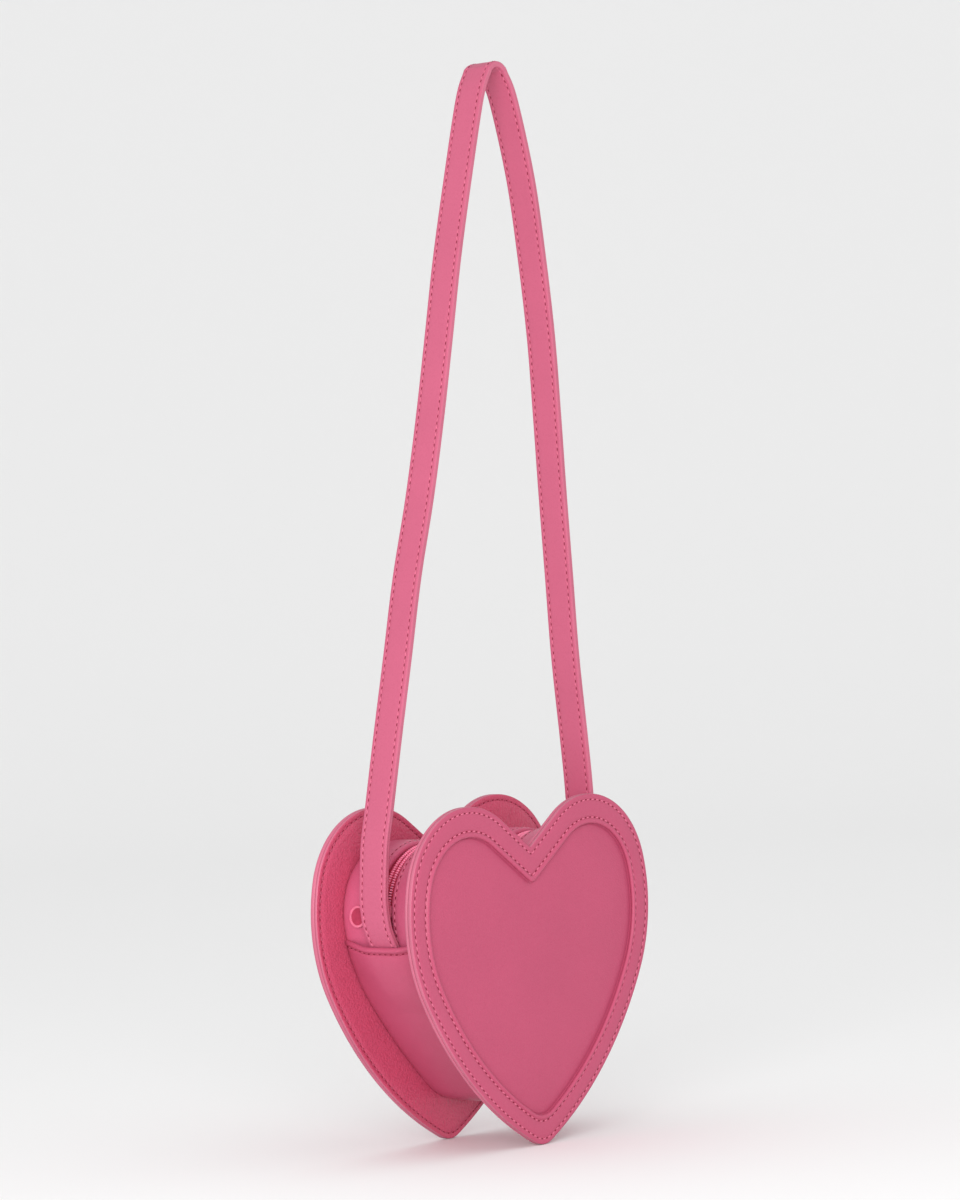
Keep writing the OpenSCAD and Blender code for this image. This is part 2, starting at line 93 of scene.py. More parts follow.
# Strap
STRAP_W, STRAP_T, STRAP_RISE, STRAP_LEAN, STRAP_TOP_R = 16.0, 3.0, 408.5, 31.0, 7.0
STRAP_GAP, STRAP_OUT = 0.15, 2.2
TONGUE_ANGLE, TONGUE_TOP = -22.5, -14.5
TOP_FROM, TOP_TO = 153.0, 27.0
FOLD_Z = LOBE_R + STRAP_W / 2
# Shares of the strap's rise and lean that each leg passes on its way up
LEFT_SHARES = [
    (0.02, -0.021), (0.047, -0.037), (0.071, -0.032), (0.115, -0.011), (0.152, 0.026),
    (0.231, 0.104), (0.319, 0.195), (0.41, 0.287), (0.5, 0.399), (0.591, 0.496),
    (0.682, 0.582), (0.773, 0.666), (0.866, 0.768), (0.96, 0.88)]
RIGHT_SHARES = [
    (0.02, -0.052), (0.047, -0.091), (0.115, -0.075), (0.164, -0.054), (0.214, -0.012),
    (0.309, 0.073), (0.402, 0.115), (0.498, 0.159), (0.591, 0.192), (0.684, 0.234),
    (0.778, 0.33), (0.871, 0.466), (0.96, 0.7)]

SWING = next(j for j in frame["joints"] if j["name"] == "bag_swing")
HANG = np.array(SWING["pos_m"]) - np.array([0, 0, FOLD_Z * MM])
FLIP = np.array([-1, 1])


def placed(points):
    """Points of the purse in mm, as points of the row frame in metres."""
    return np.asarray(points, float) * MM + HANG


def direction(angle):
    """Unit directions in X and Z at angles in degrees."""
    a = np.radians(angle)
    return np.stack([np.cos(a), np.sin(a)], -1)


def arc(centre, radius, start, end, count):
    """Points of an arc, without its first point."""
    return np.array(centre) + radius * direction(np.linspace(start, end, count + 1)[1:])


def ways(points):
    """The way along a line of points, at each of them."""
    steps = np.linalg.norm(np.diff(points, axis=0), axis=1)
    return np.concatenate([[0], np.cumsum(steps)])


def smoothstep(t):
    """0 below 0, 1 above 1, and smooth between."""
    t = np.clip(t, 0, 1)
    return t * t * (3 - 2 * t)


def upright(outline, y):
    """Points in X and Z, as points in space at the depth y."""
    return np.stack([outline[:, 0], np.full(len(outline), float(y)), outline[:, 1]], -1)


LOBE_C = np.array([LOBE_X, 0.0])
SIDE_C = LOBE_C - (SIDE_R - LOBE_R) * direction(SIDE_START)
LOWER_C = SIDE_C - (LOWER_R - SIDE_R) * direction(LOWER_START)
GUSSET_C = np.array([LOBE_X - GUSSET_IN, -GUSSET_DOWN])
GUSSET_R = LOBE_R - GUSSET_LESS
GUSSET_SIDE_R = SIDE_R + GUSSET_SIDE_MORE
GUSSET_LOWER_R = LOWER_R + GUSSET_LOWER_MORE
GUSSET_SIDE_C = GUSSET_C - (GUSSET_SIDE_R - GUSSET_R) * direction(GUSSET_SIDE_ANGLE)
GUSSET_LOWER_C = (GUSSET_SIDE_C
                  - (GUSSET_LOWER_R - GUSSET_SIDE_R) * direction(GUSSET_LOWER_ANGLE))
VALLEY_C = np.array([0, GUSSET_C[1] + math.sqrt((GUSSET_R + VALLEY_R) ** 2 - GUSSET_C[0] ** 2)])
VALLEY_ANGLE = math.degrees(math.atan2(GUSSET_C[1] - VALLEY_C[1], GUSSET_C[0]))
HEM_Z = GUSSET_SIDE_C[1] + GUSSET_SIDE_R * math.sin(math.radians(HEM_ANGLE))
LAP_Z = HEM_Z - HEM_LAP


def tip_arc(lower_c, lower_r, tip_r):
    """Centre of the rounding at a tip, and the angle at which the lower arc meets it."""
    centre = np.array([0, lower_c[1] - math.sqrt((lower_r - tip_r) ** 2 - lower_c[0] ** 2)])
    return centre, math.degrees(math.atan2(centre[1] - lower_c[1], -lower_c[0]))


def heart(inset):
    """The closed panel outline in X and Z, set in by so many mm."""
    share = min(max(inset / RING_W, 0), 1)
    fillet = NOTCH_R + (RING_NOTCH_R - NOTCH_R) * share
    tip = TIP_R + (RING_TIP_R - TIP_R) * share
    r, low = LOBE_R - inset, LOWER_R - inset
    n = direction(NOTCH_ANGLE)
    middle = np.array([0, (r + fillet + LOBE_X * n[0]) / n[1]])
    floor = middle + fillet * direction(np.linspace(-90, NOTCH_ANGLE - 180, 6))
    start = LOBE_C + r * n
    straight = floor[-1] + (start - floor[-1]) * np.linspace(0, 1, 9)[1:, None]
    tip_c, end = tip_arc(LOWER_C, low, tip)
    half = np.concatenate([
        floor, straight,
        arc(LOBE_C, r, NOTCH_ANGLE, SIDE_START, 80),
        arc(SIDE_C, SIDE_R - inset, SIDE_START, LOWER_START, 36),
        arc(LOWER_C, low, LOWER_START, end, 48),
        arc(tip_c, tip, end, -90, 12)])
    half[:, 1] -= RING_DROP * share
    return np.concatenate([half, half[-2:0:-1] * FLIP])


def gusset_half():
    """The right half of the gusset's outline from the valley to the tip, with outward normals."""
    points, normals = [], []

    def add(centre, radius, start, end, count, sign=1):
        d = direction(np.linspace(start, end, count + 1))
        if points:
            d = d[1:]
        points.append(np.array(centre) + radius * d)
        normals.append(sign * d)

    tip_c, end = tip_arc(GUSSET_LOWER_C, GUSSET_LOWER_R, GUSSET_TIP_R)
    add(VALLEY_C, VALLEY_R, -90, VALLEY_ANGLE, 12, -1)
    add(GUSSET_C, GUSSET_R, 180 + VALLEY_ANGLE, GUSSET_SIDE_ANGLE, 90)
    add(GUSSET_SIDE_C, GUSSET_SIDE_R, GUSSET_SIDE_ANGLE, GUSSET_LOWER_ANGLE, 60)
    add(GUSSET_LOWER_C, GUSSET_LOWER_R, GUSSET_LOWER_ANGLE, end, 60)
    add(tip_c, GUSSET_TIP_R, end, -90, 16)
    return np.concatenate(points), np.concatenate(normals)


class Line:
    """A line in X and Z with outward normals, read by the way along it in mm."""

    def __init__(self, points, normals):
        self.points, self.normals = points, normals
        self.way = ways(points)
        self.length = self.way[-1]

    def at(self, s):
        """Points and unit normals at the way s."""
        s = np.asarray(s, float)
        p = np.stack([np.interp(s, self.way, self.points[:, i]) for i in (0, 1)], -1)
        n = np.stack([np.interp(s, self.way, self.normals[:, i]) for i in (0, 1)], -1)
        return p, n / np.linalg.norm(n, axis=-1, keepdims=True)

    def point(self, s, y, out):
        """Points at the way s, the depth y and so far out from the line."""
        p, n = self.at(s)
        q = p + np.asarray(out, float)[..., None] * n
        return np.stack([q[..., 0], np.broadcast_to(y, q[..., 0].shape), q[..., 1]], -1)

    def section(self, s, y, out):
        """The points of a section, given by its depths and heights, at the one way s."""
        return self.point(np.full(len(y), s), y, out)


HALF_P, HALF_N = gusset_half()
# From the left hem's foot over the lobes to the right one, and round the bottom
TOP = Line(np.concatenate([HALF_P[::-1] * FLIP, HALF_P[1:]]),
           np.concatenate([HALF_N[::-1] * FLIP, HALF_N[1:]]))
BOTTOM = Line(np.concatenate([HALF_P, HALF_P[-2::-1] * FLIP]),
              np.concatenate([HALF_N, HALF_N[-2::-1] * FLIP]))


def ways_at_height(z, right_z=None):
    """The ways along TOP at a height on the left, and at that or another on the right."""
    valley_half = 20.0
    found = []
    for height, pick in ((z, 0), (z if right_z is None else right_z, -1)):
        hits = []
        for i in range(len(TOP.points) - 1):
            a, b = TOP.points[i], TOP.points[i + 1]
            crosses = (a[1] - height) * (b[1] - height) <= 0 and a[1] != b[1]
            if crosses and abs(a[0]) > valley_half:
                t = (height - a[1]) / (b[1] - a[1])
                hits.append(TOP.way[i] + t * (TOP.way[i + 1] - TOP.way[i]))
        found.append(hits[pick])
    return found


def mesh_object(name, vertices, faces, materials, face_materials=None):
    """A smooth shaded object from vertices in metres and faces."""
    mesh = bpy.data.meshes.new(name)
    mesh.from_pydata([tuple(v) for v in vertices], [], faces)
    for m in materials:
        mesh.materials.append(m)
    if face_materials is not None:
        mesh.polygons.foreach_set("material_index", list(face_materials))
    mesh.update()
    work = bmesh.new()
    work.from_mesh(mesh)
    bmesh.ops.recalc_face_normals(work, faces=work.faces)
    for f in work.faces:
        f.smooth = True
    work.to_mesh(mesh)
    work.free()
    return linked(bpy.data.objects.new(name, mesh))


def linked(new_object):
    """Puts a new object in the scene."""
    bpy.context.scene.collection.objects.link(new_object)
    return new_object


def tube_faces(rows, count, first=0, closed=False):
    """Faces between so many rows of count points each, with end caps unless it is closed."""
    faces = []
    for i in range(rows if closed else rows - 1):
        a, b = first + i * count, first + ((i + 1) % rows) * count
        for j in range(count):
            k = (j + 1) % count
            faces.append((a + j, a + k, b + k, b + j))
    if not closed:
        faces.append(tuple(range(first, first + count)))
        faces.append(tuple(range(first + (rows - 1) * count, first + rows * count)))
    return faces


def lofted(name, rows, materials, bands=None, closed=False):
    """A skin over rows of points in mm. closed joins the last row to the first.
    bands gives the material of the faces after each row."""
    count = len(rows[0])
    faces = tube_faces(len(rows), count, closed=closed)
    used = [0] * len(faces)
    if bands:
        between = bands if closed else bands[:-1]
        used = [band for band in between for _ in range(count)]
        if not closed:
            used += [bands[0], bands[-1]]
    return mesh_object(name, placed(np.concatenate(rows)), faces, materials, used)


def heart_loft(name, profile, materials, closed=False):
    """A heart built from a profile of (inset, depth, material) round its outline."""
    rows = [upright(heart(inset), y) for inset, y, _ in profile]
    return lofted(name, rows, materials, [p[2] for p in profile], closed=closed)


def spaced(points, pitch, closed=False):
    """Points about a pitch apart along a line in space, with direction and way at each."""
    reach = 0.4
    p = np.concatenate([points, points[:1]]) if closed else np.asarray(points, float)
    way = ways(p)
    count = max(2, int(round(way[-1] / pitch)))
    s = (np.arange(count) + 0.5) * way[-1] / count

    def on_line(at):
        return np.stack([np.interp(at, way, p[:, i]) for i in range(3)], -1)

    along = on_line(np.minimum(s + reach, way[-1])) - on_line(np.maximum(s - reach, 0))
    return on_line(s), along / np.linalg.norm(along, axis=1, keepdims=True), s


def bead_arrays(centres, along, out, length, width, height, ends_down=0.0, tilt=0.0):
    """Points in mm and faces of many small rounded grains: thread, dark beads of painted shade in
    the needle holes, or teeth.
    """
    sides, rings, fullness, least = 8, 7, 3.2, 0.03
    template = []
    for t in np.linspace(-1, 1, rings):
        r = math.sqrt(max(1 - abs(t) ** fullness, least))
        for a in np.linspace(0, 2 * np.pi, sides, endpoint=False):
            template.append((t * length / 2, r * width / 2 * math.cos(a),
                             r * height / 2 * math.sin(a) - ends_down * t * t))
    template = np.array(template)
    grain = tube_faces(rings, sides)
    across = np.cross(out, along)
    across /= np.linalg.norm(across, axis=1, keepdims=True)
    out = np.cross(along, across)
    c, s = math.cos(math.radians(tilt)), math.sin(math.radians(tilt))
    along, across = c * along + s * across, c * across - s * along
    points = (centres[:, None, :]
              + template[None, :, 0:1] * along[:, None, :]
              + template[None, :, 1:2] * across[:, None, :]
              + template[None, :, 2:3] * out[:, None, :])
    faces = [tuple(v + n * len(template) for v in f)
             for n in range(len(centres)) for f in grain]
    return points.reshape(-1, 3), faces


THREAD_UP, HOLE_DOWN = 0.16, 0.04


def sewn(context, name, lines, outs, thread, closed=False):
    """Rows of stitches along lines in mm, with dark beads between them: painted shade in the
    needle holes. outs gives each line's outward direction, one for the whole line or one for each
    of its points."""
    size = context.scene.purse_sizes
    centres, alongs, normals = [], [], []
    for line, out in zip(lines, outs):
        place, along, s = spaced(line, size.stitch_pitch, closed)
        o = np.asarray(out, float)
        if o.ndim == 1:
            o = np.broadcast_to(o, place.shape)
        else:
            o = np.stack([np.interp(s, ways(line), o[:, i]) for i in range(3)], -1)
            o = o / np.linalg.norm(o, axis=1, keepdims=True)
        centres.append(place)
        alongs.append(along)
        normals.append(o)
    centres, alongs, normals = (np.concatenate(a) for a in (centres, alongs, normals))
    width = size.thread_width
    stitches, faces = bead_arrays(
        centres + THREAD_UP * normals, alongs, normals, size.stitch_length, width,
        width * 0.8, ends_down=width * 0.35, tilt=size.stitch_tilt)
    # Dark beads between the stitches: painted shade in the needle holes
    between = centres + alongs * size.stitch_pitch / 2
    holes, hole_faces = bead_arrays(
        between - HOLE_DOWN * normals, alongs, normals,
        size.stitch_pitch - size.stitch_length + 0.1, width, width * 0.4)
    used = [0] * len(faces) + [1] * len(hole_faces)
    faces += [tuple(v + len(stitches) for v in f) for f in hole_faces]
    f = finishes(context)
    return mesh_object(name, placed(np.concatenate([stitches, holes])), faces,
                       [f[thread], f["hole"]], used)


class Finish:
    """A new procedural material: its tree, its shader and short ways to add nodes."""

    def __init__(self, name):
        self.material = bpy.data.materials.new("purse_" + name)
        self.material.use_nodes = True
        self.tree = self.material.node_tree
        self.shader = next(n for n in self.tree.nodes if n.type == "BSDF_PRINCIPLED")
        self.place = self.add("TexCoord").outputs["Object"]

    def add(self, kind, **values):
        """A shader node with values for its inputs, underscores standing for spaces."""
        node = self.tree.nodes.new("ShaderNode" + kind)
        for key, value in values.items():
            node.inputs[key.replace("_", " ")].default_value = value
        return node

    def link(self, source, target):
        self.tree.links.new(source, target)

    def texture(self, kind, **values):
        """A texture node laid on the object's own coordinates."""
        node = self.add("Tex" + kind, **values)
        self.link(self.place, node.inputs["Vector"])
        return node

    def maths(self, operation, first, number, last=None):
        """A maths node on first and a number, with a third value where it takes one."""
        node = self.add("Math")
        node.operation = operation
        self.link(first, node.inputs[0])
        node.inputs[1].default_value = number
        if last is not None:
            self.link(last, node.inputs[2])
        return node.outputs["Value"]

    def tone(self, colour, low, high, source, start=0.0, end=1.0):
        """The colour, times low to times high, as source goes from start to end."""
        ramp = self.add("ValToRGB")
        for stop, position, share in zip(ramp.color_ramp.elements, (start, end), (low, high)):
            stop.position = position
            stop.color = (*np.minimum(np.array(colour[:3]) * share, 1), 1)
        self.link(source, ramp.inputs["Fac"])
        return ramp.outputs["Color"]

    def bump(self, source, strength, distance):
        """Relief from a height, on the whole surface."""
        node = self.add("Bump", Strength=strength, Distance=distance)
        self.link(source, node.inputs["Height"])
        self.link(node.outputs["Normal"], self.shader.inputs["Normal"])

    def set(self, **values):
        """Values of the shader's own sockets."""
        for key, value in values.items():
            self.shader.inputs[key.replace("_", " ")].default_value = value


def leather(name, colour, grain, grain_depth, rough=0.48, variation=0.03):
    """Dyed leather: cells of grain, fine pores, and a slow change of colour over the hide."""
    m = Finish(name)
    slow = m.texture("Noise", Scale=28.0, Detail=4.0)
    warp = m.texture("Noise", Scale=grain * 0.35, Detail=2.0)
    pores = m.texture("Noise", Scale=2600.0, Detail=3.0)
    bend = m.add("VectorMath")
    bend.operation = "MULTIPLY_ADD"
    bend.inputs[1].default_value = (0.0012, 0.0012, 0.0012)
    m.link(warp.outputs["Color"], bend.inputs[0])
    m.link(m.place, bend.inputs[2])
    cells = m.add("TexVoronoi")
    cells.feature = "SMOOTH_F1"
    cells.inputs["Scale"].default_value = grain
    cells.inputs["Smoothness"].default_value = 0.6
    m.link(bend.outputs["Vector"], cells.inputs["Vector"])
    tone = m.tone(colour, 1 - variation, 1 + variation * 0.6, slow.outputs["Fac"], 0.3, 0.7)
    edge = m.add("MapRange", From_Min=0.45, From_Max=0.85, To_Max=grain_depth)
    m.link(cells.outputs["Distance"], edge.inputs["Value"])
    deep = m.add("Mix")
    deep.data_type = "RGBA"
    deep.blend_type = "MULTIPLY"
    deep.inputs["B"].default_value = (0.78, 0.6, 0.66, 1)
    m.link(edge.outputs["Result"], deep.inputs["Factor"])
    m.link(tone, deep.inputs["A"])
    m.link(deep.outputs["Result"], m.shader.inputs["Base Color"])
    relief = m.maths("MULTIPLY", pores.outputs["Fac"], 0.35)
    m.bump(m.maths("MULTIPLY_ADD", cells.outputs["Distance"], -1.0, relief),
           min(grain_depth * 1.4, 1), 0.0004)
    gloss = m.add("MapRange", To_Min=rough - 0.06, To_Max=rough + 0.08)
    m.link(pores.outputs["Fac"], gloss.inputs["Value"])
    m.link(gloss.outputs["Result"], m.shader.inputs["Roughness"])
    m.set(Specular_IOR_Level=0.3)
    return m.material


def woven(name, colour, pitch=0.0006, rough=0.75):
    """Woven or twisted yarn: fine crossing ribs, a pitch in metres apart."""
    m = Finish(name)
    both_ways = m.add("Math")
    both_ways.operation = "MULTIPLY"
    for i, axis in enumerate("XY"):
        ribs = m.texture("Wave", Scale=0.314 / pitch, Distortion=0.4)
        ribs.bands_direction = axis
        m.link(ribs.outputs["Fac"], both_ways.inputs[i])
    height = both_ways.outputs["Value"]
    m.link(m.tone(colour, 0.7, 1.15, height), m.shader.inputs["Base Color"])
    m.bump(height, 0.5, 0.00015)
    m.set(Roughness=rough, Specular_IOR_Level=0.2)
    return m.material


def enamel(name, colour, rough=0.28, coat=0.5, specular=0.5):
    """Painted metal or shiny nylon: an even coat with faint waves."""
    m = Finish(name)
    flow = m.texture("Noise", Scale=420.0, Detail=2.0).outputs["Fac"]
    m.link(m.tone(colour, 0.9, 1.06, flow, 0.35, 0.65), m.shader.inputs["Base Color"])
    m.bump(flow, 0.12, 0.0001)
    m.set(Roughness=rough, Specular_IOR_Level=specular, Coat_Weight=coat, Coat_Roughness=0.15)
    return m.material


MADE = {}


def finishes(context):
    """Every finish of the purse, by name. They are made once."""
    if MADE:
        return MADE
    c = context.scene.purse_colours
    MADE.update({
        "face": leather("face_leather", c.face, 1500.0, 0.16),
        "ring": leather("ring_leather", c.ring, 1300.0, 0.14, rough=0.44),
        "grained": leather("grained_leather", c.grained, 900.0, 0.5, rough=0.36),
        "gusset": leather("gusset_leather", c.gusset, 1500.0, 0.14, rough=0.42),
        # Lighter copy of the gusset leather: painted light on the gusset's top beside the zip
        "strip": leather("strip_leather_painted_light", c.strip, 1500.0, 0.14, rough=0.38),
        "strap": leather("strap_leather", c.strap, 1300.0, 0.18, rough=0.47),
        "edge": leather("edge_paint", c.edge, 2200.0, 0.08, rough=0.4, variation=0.1),
        "board": leather("board_fibre", c.board, 3000.0, 0.1, rough=0.8),
        "thread": woven("thread", c.thread, pitch=0.0004, rough=0.5),
        # Darker copy of the thread: painted shade for the seams that lie in shadow
        "thread_painted_shade": woven("thread_painted_shade", c.thread_painted_shade, pitch=0.0004, rough=0.6),
        # Needle holes: a dark colour, painted shade of the holes
        "hole": woven("needle_hole_painted_shade", c.hole, pitch=0.0004, rough=0.9),
        "tape": woven("zip_tape_weave", c.tape),
        "lining": woven("lining_twill", c.lining, pitch=0.0005),
        "coil": enamel("coil_nylon", c.coil, rough=0.3, coat=0.1),
        "enamel": enamel("enamel", c.enamel),
        # Darker enamel: painted shade on the pull's sunk face
        "enamel_painted_shade": enamel("enamel_painted_shade", c.enamel_painted_shade, rough=0.4, coat=0.0, specular=0.15),
    })
    return MADE


def give(node, material):
    """Gives a solid that stays its finish."""
    mesh = frame["nodes"][node].data
    mesh.materials.clear()
    mesh.materials.append(material)


def colour_prop(label, text, value):
    """A colour setting."""
    return bpy.props.FloatVectorProperty(
        name=label, description=text, subtype="COLOR", size=3, min=0, max=1, default=value)


def size_prop(label, text, value, least, most):
    """A size setting."""
    return bpy.props.FloatProperty(
        name=label, description=text, default=value, min=least, max=most)


class PurseColours(bpy.types.PropertyGroup):
    """Colours of the purse's finishes"""
    face: colour_prop("Face", "Sunk heart on the front and the back panel",
                      (0.460, 0.068, 0.140))
    ring: colour_prop("Ring", "Raised ring of leather", (0.468, 0.074, 0.147))
    grained: colour_prop("Grained", "Leather that faces the gusset", (0.555, 0.078, 0.152))
    gusset: colour_prop("Gusset", "Gusset and hems", (0.468, 0.073, 0.145))
    # Painted light: the gusset leather made lighter where the gusset's top beside the zip catches
    # more light
    strip: colour_prop("Zip strips", "Gusset leather beside the zip", (0.560, 0.102, 0.195))
    strap: colour_prop("Strap", "Both faces of the strap", (0.495, 0.096, 0.174))
    edge: colour_prop("Edge paint", "Paint on the cut edges", (0.510, 0.125, 0.200))
    thread: colour_prop("Thread", "Sewing thread", (0.720, 0.165, 0.270))
    # Painted shade: a darker copy of the thread for the facings' and hems' seams, which lie in
    # shadow
    thread_painted_shade: colour_prop("Deep thread", "Thread of the facings' and the hems' seams",
                             (0.520, 0.085, 0.155))
    # Painted shade: the dark colour of the beads in the needle holes
    hole: colour_prop("Needle holes", "Shade of the holes between stitches",
                      (0.280, 0.020, 0.050))
    tape: colour_prop("Zip tape", "Woven tape under the coils", (0.700, 0.055, 0.130))
    coil: colour_prop("Zip coil", "Teeth of the zip", (0.950, 0.230, 0.390))
    enamel: colour_prop("Enamel", "Slider, link and pull", (0.720, 0.150, 0.255))
    # Painted shade: darker enamel for the pull's sunk round face
    enamel_painted_shade: colour_prop("Deep enamel", "Sunk round face of the pull",
                             (0.380, 0.036, 0.080))
    lining: colour_prop("Lining", "Cloth inside", (0.340, 0.030, 0.075))
    board: colour_prop("Board", "Stiff board inside each panel", (0.420, 0.050, 0.110))


class PurseSizes(bpy.types.PropertyGroup):
    """Small sizes of the sewing, in millimetres"""
    stitch_pitch: size_prop("Stitch pitch", "From one stitch to the next, in mm", 3.5, 2, 6)
    stitch_length: size_prop("Stitch length", "Length of the thread that shows, in mm",
                             2.2, 1, 5)
    thread_width: size_prop("Thread width", "Thickness of the thread, in mm", 0.85, 0.3, 1.2)
    stitch_tilt: size_prop("Stitch tilt", "Turn of each stitch off the seam, in degrees",
                           7, 0, 25)
    swell: size_prop("Gusset swell", "How far the gusset bulges at mid depth, in mm",
                     0.7, 0, 2)


# Profiles from a heart's middle out: (inset from the edge, depth, 0 leather or 1 paint)
FACE_PROFILE = [
    (34, -28.35, 0), (0.9, -28.35, 0), (0.9, -29.1, 0), (6, -29.15, 0), (11, -29.2, 0),
    (12.3, -29.2, 0), (12.7, -28.9, 0), (13.1, -28.85, 0), (13.5, -29.05, 0),
    (14, -29.2, 0), (17, -29.24, 0), (21, -29.32, 0), (26, -29.4, 0), (34, -29.45, 0)]
RING_PROFILE = [
    (0.9, -29.25, 1), (0.9, -28.2, 1), (0.5, -28.25, 1), (0.22, -28.5, 1), (0.02, -28.8, 1),
    (0, -29.4, 1), (0, -29.95, 1), (0.14, -30.3, 0), (0.5, -30.48, 0), (1.2, -30.5, 0),
    (2.0, -30.48, 0), (2.25, -30.32, 0), (2.5, -30.22, 0), (2.75, -30.32, 0),
    (3.0, -30.48, 0), (4.5, -30.55, 0), (6.5, -30.58, 0), (8.5, -30.55, 0),
    (RING_W - 3.2, -30.5, 0), (RING_W - 2.95, -30.34, 0), (RING_W - 2.75, -30.16, 0),
    (RING_W - 2.5, -30.12, 0), (RING_W - 2.3, -30.4, 0), (RING_W - 2.05, -30.8, 0),
    (RING_W - 1.7, -31.06, 0), (RING_W - 1.3, -31.22, 0), (RING_W - 0.9, -31.22, 0),
    (RING_W - 0.5, -31.06, 0), (RING_W - 0.15, -30.72, 0), (RING_W, -30.3, 0),
    (RING_W - 0.12, -29.8, 0), (RING_W - 0.55, -29.3, 0)]
BACK_PROFILE = [
    (34, 28.35, 1), (1.4, 28.35, 1), (1.4, 28.2, 1), (0.5, 28.25, 1), (0.2, 28.5, 1),
    (0.02, 28.8, 1), (0, 29.5, 1), (0, 29.95, 0), (0.15, 30.28, 0), (0.55, 30.44, 0),
    (2.0, 30.44, 0), (2.25, 30.28, 0), (2.5, 30.18, 0), (2.75, 30.28, 0), (3.0, 30.44, 0),
    (8, 30.48, 0), (16, 30.5, 0), (34, 30.5, 0)]
FACING_PROFILE = [
    (34, 26.5, 0), (22, 26.5, 0), (12, 26.5, 0), (6, 26.5, 0), (3.0, 26.52, 0),
    (2.75, 26.68, 0), (2.5, 26.76, 0), (2.25, 26.68, 0), (2.0, 26.52, 0), (0.6, 26.52, 0),
    (0.18, 26.64, 1), (0, 26.95, 1), (0, 27.4, 1), (0.08, 27.7, 1), (0.25, 27.9, 1),
    (0.5, 28.1, 1), (1.4, 28.1, 1), (1.4, 27.6, 1), (34, 27.6, 1)]


def facing(side, name, node, finish):
    """The grained facing of a panel; side is -1 in front and 1 behind."""
    piece = heart_loft(name, [(i, side * y, m) for i, y, m in FACING_PROFILE],
                       [finish["grained"], finish["edge"]])
    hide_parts(node)
    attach(piece, "bag")


class PURSE_OT_front_panel(bpy.types.Operator):
    """Front heart: sunk face, raised ring with its bead, and grained facing"""
    bl_idname = "purse.front_panel"
    bl_label = "Front panel"

    def execute(self, context):
        f = finishes(context)
        face = heart_loft("front_face", FACE_PROFILE, [f["face"]])
        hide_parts("front_leather")
        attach(face, "bag")
        ring = heart_loft("front_ring", RING_PROFILE, [f["ring"], f["edge"]], closed=True)
        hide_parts("front_ring_overlay")
        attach(ring, "bag")
        facing(-1, "front_grained_facing", "front_facing", f)
        give("front_board", f["board"])
        return {"FINISHED"}


class PURSE_OT_back_panel(bpy.types.Operator):
    """Back heart: plain outer leather and grained facing"""
    bl_idname = "purse.back_panel"
    bl_label = "Back panel"

    def execute(self, context):
        f = finishes(context)
        outer = heart_loft("back_outer", BACK_PROFILE, [f["face"], f["edge"]])
        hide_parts("back_leather")
        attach(outer, "bag")
        facing(1, "back_grained_facing", "back_facing", f)
        give("back_board", f["board"])
        return {"FINISHED"}


class PURSE_OT_panel_stitches(bpy.types.Operator):
    """Rows of stitches round both hearts"""
    bl_idname = "purse.panel_stitches"
    bl_label = "Panel stitches"

    def execute(self, context):
        edge_row, bead_row = 2.5, RING_W - 2.6
        for name, inset, y, way, thread in (
                ("stitches_front_edge", edge_row, -30.3, -1, "thread"),
                ("stitches_front_bead", bead_row, -30.26, -1, "thread"),
                # The facings' rows take the darker thread, painted shade
                ("stitches_front_facing", edge_row, -26.7, 1, "thread_painted_shade"),
                ("stitches_back_facing", edge_row, 26.7, -1, "thread_painted_shade"),
                ("stitches_back_edge", edge_row, 30.26, 1, "thread")):
            row = sewn(context, name, [upright(heart(inset), y)], [(0, way, 0)], thread,
                       closed=True)
            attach(row, "bag")
        return {"FINISHED"}


def side_way(angle):
    """The way along BOTTOM to an angle of the round side, on the right."""
    p = GUSSET_SIDE_C + GUSSET_SIDE_R * direction(angle)
    return BOTTOM.way[np.argmin(np.linalg.norm(BOTTOM.points[:len(HALF_P)] - p, axis=1))]


HEM_S = side_way(HEM_ANGLE)
END_S = BOTTOM.length - HEM_S
HEM_RUN = side_way(HEM_FULL_ANGLE) - HEM_S
# From a hem's mouth, in mm: the roll, the seam, and the ways over which the shapes fade
HEM_ROLL, HEM_SEAM, LAP_FADE, TONGUE_FADE = 1.3, 3.15, 14, 26
# How far each stands out or in, and how far the mouths' sides are drawn up
ROLL_UP, SEAM_DOWN, LAP_UP, TONGUE_UP, MOUTH_RISE = 0.95, 0.6, 1.5, 2.9, 1.7


def lower_out(context, s, y):
    """How far the lower gusset's skin stands out from the outline: its swell, the lap over
    the strap's end, the roll at the mouth and the groove of the hem's seam."""
    a = np.abs(y) / (GUSSET_DEPTH / 2)
    turned_in = 1.5 * a ** 9 + 2.2 * a ** 60
    base = context.scene.purse_sizes.swell * (1 - a ** 2) - turned_in
    far = np.minimum(s - HEM_S, END_S - s)
    lap = LAP_UP * (1 - smoothstep((far - HEM_RUN * 0.4) / LAP_FADE))
    roll = (ROLL_UP * np.exp(-((far - HEM_ROLL) / 1.05) ** 2)
            - SEAM_DOWN * np.exp(-((far - HEM_SEAM) / 0.6) ** 2))
    tongue = TONGUE_UP * (1 - smoothstep((far - HEM_RUN) / TONGUE_FADE))
    return (base + (lap + roll) * (1 - a ** 9)
            + tongue * (1 - smoothstep((np.abs(y) - 6) / 19)))


def hem_point(s, y, out):
    """Points of the lower gusset. Its mouths are drawn up towards the panels."""
    far = min(s - HEM_S, END_S - s)
    rise = MOUTH_RISE * smoothstep((np.abs(y) - 8) / 16) * (1 - smoothstep(far / LAP_FADE))
    way = s - rise if s < BOTTOM.length / 2 else s + rise
    return BOTTOM.point(way, y, out)


